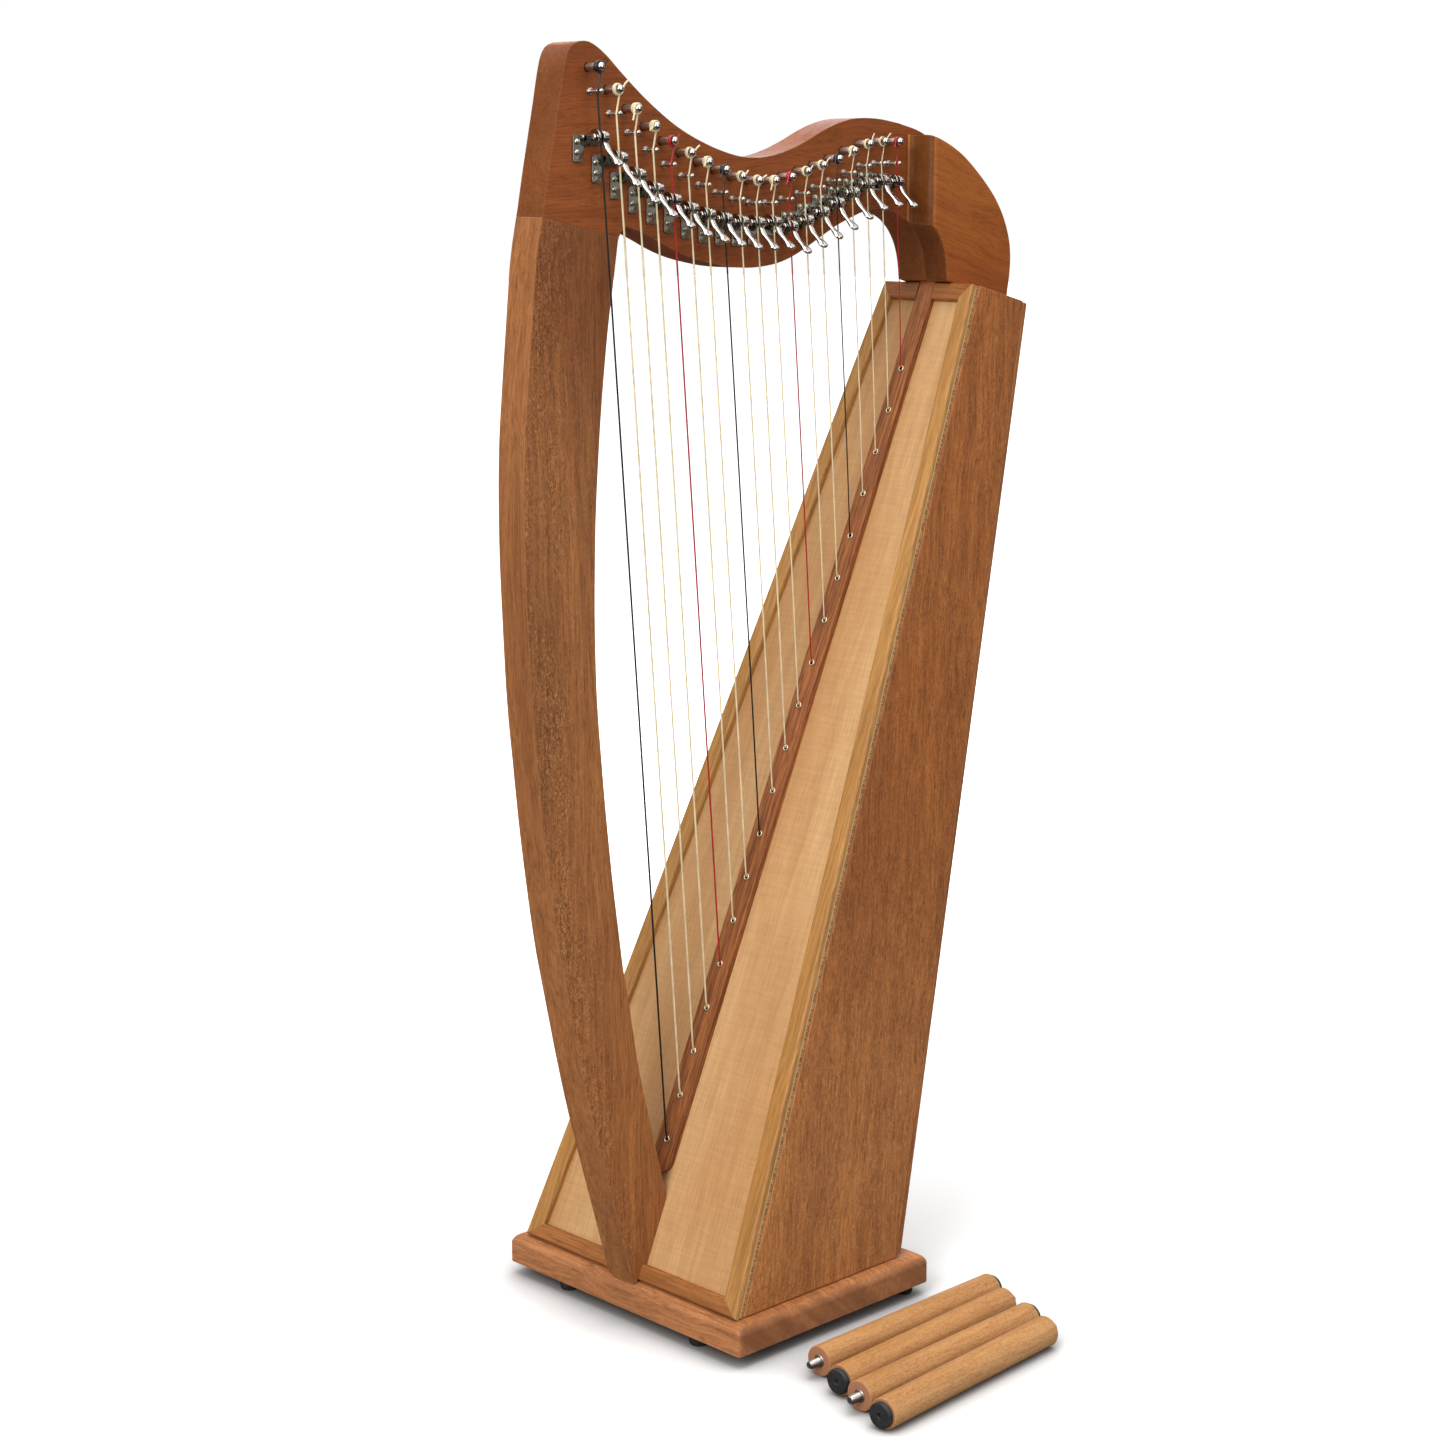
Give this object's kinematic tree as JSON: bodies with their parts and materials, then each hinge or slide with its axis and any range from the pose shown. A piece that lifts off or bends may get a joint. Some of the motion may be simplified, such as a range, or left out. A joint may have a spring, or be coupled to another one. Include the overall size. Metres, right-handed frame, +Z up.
{
  "type": "lever harp",
  "caption": "Small floor lever harp: curved neck, bowed pillar, tapered soundbox on a base plate, tuning pins, flip-up sharping levers and loose screw-in extension legs.",
  "frame": {"origin": "centre of the base plate's underside", "axes": "+Z up; +X from the pillar to the back of the soundbox; -Y is the side of the neck that carries the strings, the player's left"},
  "size_m": [0.4126, 0.3394, 0.7872],
  "materials": {
    "wood_neck": "reddish brown open-grained hardwood, satin lacquer",
    "wood_pillar": "golden brown quarter-sawn hardwood with short flecks, satin lacquer",
    "wood_side": "reddish brown straight-grained veneer, satin lacquer",
    "wood_base": "mid brown hardwood, satin lacquer",
    "wood_trim": "brown hardwood moulding, satin lacquer",
    "wood_rib": "brown hardwood strip, satin lacquer",
    "wood_soundboard": "pale tan wood with fine cross grain, satin lacquer",
    "wood_leg": "light tan hardwood dowel, satin",
    "foot_rubber": "black rubber",
    "tuning_pin_steel": "satin steel pin with a polished domed end",
    "bridge_pin_steel": "polished steel",
    "lever_nickel": "polished nickel plate",
    "screw_steel": "polished pan-head screws",
    "stud_steel": "zinc-plated threaded stud",
    "eyelet_brass": "pale brass eyelet",
    "string_natural": "clear cream nylon",
    "string_black": "black nylon",
    "string_red": "red nylon"
  },
  "bodies": {
    "harp_frame": {"base_plate": "wood_base", "foot_front_left": "foot_rubber", "foot_front_right": "foot_rubber", "foot_rear_left": "foot_rubber", "foot_rear_right": "foot_rubber", "soundboard": "wood_soundboard", "board_trim": "wood_trim", "string_rib": "wood_rib", "inner_rib": "wood_rib", "side_panel_left": "wood_side", "side_panel_right": "wood_side", "back_panel": "wood_side", "top_cap": "wood_trim", "pillar": "wood_pillar", "neck": "wood_neck", "shoulder_block": "wood_neck", "string_set": "string_natural", "lever_brackets": "lever_nickel"},
    "lever_01": {"lever_01": "lever_nickel"},
    "lever_02": {"lever_02": "lever_nickel"},
    "lever_03": {"lever_03": "lever_nickel"},
    "lever_04": {"lever_04": "lever_nickel"},
    "lever_05": {"lever_05": "lever_nickel"},
    "lever_06": {"lever_06": "lever_nickel"},
    "lever_07": {"lever_07": "lever_nickel"},
    "lever_08": {"lever_08": "lever_nickel"},
    "lever_09": {"lever_09": "lever_nickel"},
    "lever_10": {"lever_10": "lever_nickel"},
    "lever_11": {"lever_11": "lever_nickel"},
    "lever_12": {"lever_12": "lever_nickel"},
    "lever_13": {"lever_13": "lever_nickel"},
    "lever_14": {"lever_14": "lever_nickel"},
    "lever_15": {"lever_15": "lever_nickel"},
    "lever_16": {"lever_16": "lever_nickel"},
    "lever_17": {"lever_17": "lever_nickel"},
    "lever_18": {"lever_18": "lever_nickel"},
    "lever_19": {"lever_19": "lever_nickel"},
    "tuning_pin_01": {"tuning_pin_01": "tuning_pin_steel"},
    "tuning_pin_02": {"tuning_pin_02": "tuning_pin_steel"},
    "tuning_pin_03": {"tuning_pin_03": "tuning_pin_steel"},
    "tuning_pin_04": {"tuning_pin_04": "tuning_pin_steel"},
    "tuning_pin_05": {"tuning_pin_05": "tuning_pin_steel"},
    "tuning_pin_06": {"tuning_pin_06": "tuning_pin_steel"},
    "tuning_pin_07": {"tuning_pin_07": "tuning_pin_steel"},
    "tuning_pin_08": {"tuning_pin_08": "tuning_pin_steel"},
    "tuning_pin_09": {"tuning_pin_09": "tuning_pin_steel"},
    "tuning_pin_10": {"tuning_pin_10": "tuning_pin_steel"},
    "tuning_pin_11": {"tuning_pin_11": "tuning_pin_steel"},
    "tuning_pin_12": {"tuning_pin_12": "tuning_pin_steel"},
    "tuning_pin_13": {"tuning_pin_13": "tuning_pin_steel"},
    "tuning_pin_14": {"tuning_pin_14": "tuning_pin_steel"},
    "tuning_pin_15": {"tuning_pin_15": "tuning_pin_steel"},
    "tuning_pin_16": {"tuning_pin_16": "tuning_pin_steel"},
    "tuning_pin_17": {"tuning_pin_17": "tuning_pin_steel"},
    "tuning_pin_18": {"tuning_pin_18": "tuning_pin_steel"},
    "tuning_pin_19": {"tuning_pin_19": "tuning_pin_steel"},
    "leg_1": {"leg_1": "wood_leg"},
    "leg_2": {"leg_2": "wood_leg"},
    "leg_3": {"leg_3": "wood_leg"},
    "leg_4": {"leg_4": "wood_leg"}
  },
  "joints": [
    {"name": "lever_01_flip", "type": "hinge", "parent": "harp_frame", "child": "lever_01", "pos_m": [-0.10248, -0.0073, 0.72492], "axis": [-1, 0, 0], "range_deg": [0, 85]},
    {"name": "lever_02_flip", "type": "hinge", "parent": "harp_frame", "child": "lever_02", "pos_m": [-0.08807, -0.0073, 0.71329], "axis": [-1, 0, 0], "range_deg": [0, 85]},
    {"name": "lever_03_flip", "type": "hinge", "parent": "harp_frame", "child": "lever_03", "pos_m": [-0.07375, -0.0073, 0.70381], "axis": [-1, 0, 0], "range_deg": [0, 85]},
    {"name": "lever_04_flip", "type": "hinge", "parent": "harp_frame", "child": "lever_04", "pos_m": [-0.0595, -0.0073, 0.69564], "axis": [-1, 0, 0], "range_deg": [0, 85]},
    {"name": "lever_05_flip", "type": "hinge", "parent": "harp_frame", "child": "lever_05", "pos_m": [-0.04532, -0.0073, 0.6892], "axis": [-1, 0, 0], "range_deg": [0, 85]},
    {"name": "lever_06_flip", "type": "hinge", "parent": "harp_frame", "child": "lever_06", "pos_m": [-0.03112, -0.0073, 0.68394], "axis": [-1, 0, 0], "range_deg": [0, 85]},
    {"name": "lever_07_flip", "type": "hinge", "parent": "harp_frame", "child": "lever_07", "pos_m": [-0.01699, -0.0073, 0.68038], "axis": [-1, 0, 0], "range_deg": [0, 85]},
    {"name": "lever_08_flip", "type": "hinge", "parent": "harp_frame", "child": "lever_08", "pos_m": [-0.00292, -0.0073, 0.67772], "axis": [-1, 0, 0], "range_deg": [0, 85]},
    {"name": "lever_09_flip", "type": "hinge", "parent": "harp_frame", "child": "lever_09", "pos_m": [0.0111, -0.0073, 0.67579], "axis": [-1, 0, 0], "range_deg": [0, 85]},
    {"name": "lever_10_flip", "type": "hinge", "parent": "harp_frame", "child": "lever_10", "pos_m": [0.02513, -0.0073, 0.67512], "axis": [-1, 0, 0], "range_deg": [0, 85]},
    {"name": "lever_11_flip", "type": "hinge", "parent": "harp_frame", "child": "lever_11", "pos_m": [0.03923, -0.0073, 0.67547], "axis": [-1, 0, 0], "range_deg": [0, 85]},
    {"name": "lever_12_flip", "type": "hinge", "parent": "harp_frame", "child": "lever_12", "pos_m": [0.05394, -0.0073, 0.67261], "axis": [-1, 0, 0], "range_deg": [0, 85]},
    {"name": "lever_13_flip", "type": "hinge", "parent": "harp_frame", "child": "lever_13", "pos_m": [0.06802, -0.0073, 0.67603], "axis": [-1, 0, 0], "range_deg": [0, 85]},
    {"name": "lever_14_flip", "type": "hinge", "parent": "harp_frame", "child": "lever_14", "pos_m": [0.08195, -0.0073, 0.68105], "axis": [-1, 0, 0], "range_deg": [0, 85]},
    {"name": "lever_15_flip", "type": "hinge", "parent": "harp_frame", "child": "lever_15", "pos_m": [0.09582, -0.0073, 0.6865], "axis": [-1, 0, 0], "range_deg": [0, 85]},
    {"name": "lever_16_flip", "type": "hinge", "parent": "harp_frame", "child": "lever_16", "pos_m": [0.10965, -0.0073, 0.69286], "axis": [-1, 0, 0], "range_deg": [0, 85]},
    {"name": "lever_17_flip", "type": "hinge", "parent": "harp_frame", "child": "lever_17", "pos_m": [0.12351, -0.0073, 0.69822], "axis": [-1, 0, 0], "range_deg": [0, 85]},
    {"name": "lever_18_flip", "type": "hinge", "parent": "harp_frame", "child": "lever_18", "pos_m": [0.13742, -0.0073, 0.7004], "axis": [-1, 0, 0], "range_deg": [0, 85]},
    {"name": "lever_19_flip", "type": "hinge", "parent": "harp_frame", "child": "lever_19", "pos_m": [0.1515, -0.0073, 0.69981], "axis": [-1, 0, 0], "range_deg": [0, 85]},
    {"name": "tuning_pin_01_turn", "type": "hinge", "parent": "harp_frame", "child": "tuning_pin_01", "pos_m": [-0.1049, 0, 0.76452], "axis": [0, -1, 0], "continuous": true},
    {"name": "tuning_pin_02_turn", "type": "hinge", "parent": "harp_frame", "child": "tuning_pin_02", "pos_m": [-0.09047, 0, 0.75219], "axis": [0, -1, 0], "continuous": true},
    {"name": "tuning_pin_03_turn", "type": "hinge", "parent": "harp_frame", "child": "tuning_pin_03", "pos_m": [-0.07607, 0, 0.74151], "axis": [0, -1, 0], "continuous": true},
    {"name": "tuning_pin_04_turn", "type": "hinge", "parent": "harp_frame", "child": "tuning_pin_04", "pos_m": [-0.06171, 0, 0.73174], "axis": [0, -1, 0], "continuous": true},
    {"name": "tuning_pin_05_turn", "type": "hinge", "parent": "harp_frame", "child": "tuning_pin_05", "pos_m": [-0.04738, 0, 0.7234], "axis": [0, -1, 0], "continuous": true},
    {"name": "tuning_pin_06_turn", "type": "hinge", "parent": "harp_frame", "child": "tuning_pin_06", "pos_m": [-0.03308, 0, 0.71674], "axis": [0, -1, 0], "continuous": true},
    {"name": "tuning_pin_07_turn", "type": "hinge", "parent": "harp_frame", "child": "tuning_pin_07", "pos_m": [-0.01881, 0, 0.71148], "axis": [0, -1, 0], "continuous": true},
    {"name": "tuning_pin_08_turn", "type": "hinge", "parent": "harp_frame", "child": "tuning_pin_08", "pos_m": [-0.00457, 0, 0.70692], "axis": [0, -1, 0], "continuous": true},
    {"name": "tuning_pin_09_turn", "type": "hinge", "parent": "harp_frame", "child": "tuning_pin_09", "pos_m": [0.00963, 0, 0.70299], "axis": [0, -1, 0], "continuous": true},
    {"name": "tuning_pin_10_turn", "type": "hinge", "parent": "harp_frame", "child": "tuning_pin_10", "pos_m": [0.0238, 0, 0.70072], "axis": [0, -1, 0], "continuous": true},
    {"name": "tuning_pin_11_turn", "type": "hinge", "parent": "harp_frame", "child": "tuning_pin_11", "pos_m": [0.03794, 0, 0.70057], "axis": [0, -1, 0], "continuous": true},
    {"name": "tuning_pin_12_turn", "type": "hinge", "parent": "harp_frame", "child": "tuning_pin_12", "pos_m": [0.05205, 0, 0.70281], "axis": [0, -1, 0], "continuous": true},
    {"name": "tuning_pin_13_turn", "type": "hinge", "parent": "harp_frame", "child": "tuning_pin_13", "pos_m": [0.06613, 0, 0.70613], "axis": [0, -1, 0], "continuous": true},
    {"name": "tuning_pin_14_turn", "type": "hinge", "parent": "harp_frame", "child": "tuning_pin_14", "pos_m": [0.08017, 0, 0.70995], "axis": [0, -1, 0], "continuous": true},
    {"name": "tuning_pin_15_turn", "type": "hinge", "parent": "harp_frame", "child": "tuning_pin_15", "pos_m": [0.09418, 0, 0.7139], "axis": [0, -1, 0], "continuous": true},
    {"name": "tuning_pin_16_turn", "type": "hinge", "parent": "harp_frame", "child": "tuning_pin_16", "pos_m": [0.10816, 0, 0.71886], "axis": [0, -1, 0], "continuous": true},
    {"name": "tuning_pin_17_turn", "type": "hinge", "parent": "harp_frame", "child": "tuning_pin_17", "pos_m": [0.12211, 0, 0.72322], "axis": [0, -1, 0], "continuous": true},
    {"name": "tuning_pin_18_turn", "type": "hinge", "parent": "harp_frame", "child": "tuning_pin_18", "pos_m": [0.13602, 0, 0.7248], "axis": [0, -1, 0], "continuous": true},
    {"name": "tuning_pin_19_turn", "type": "hinge", "parent": "harp_frame", "child": "tuning_pin_19", "pos_m": [0.14991, 0, 0.7248], "axis": [0, -1, 0], "continuous": true},
    {"name": "leg_1_lift", "type": "slide", "parent": "harp_frame", "child": "leg_1", "axis": [0, 0, 1], "range_m": [0, 0.15]},
    {"name": "leg_2_lift", "type": "slide", "parent": "harp_frame", "child": "leg_2", "axis": [0, 0, 1], "range_m": [0, 0.15]},
    {"name": "leg_3_lift", "type": "slide", "parent": "harp_frame", "child": "leg_3", "axis": [0, 0, 1], "range_m": [0, 0.15]},
    {"name": "leg_4_lift", "type": "slide", "parent": "harp_frame", "child": "leg_4", "axis": [0, 0, 1], "range_m": [0, 0.15]}
  ]
}
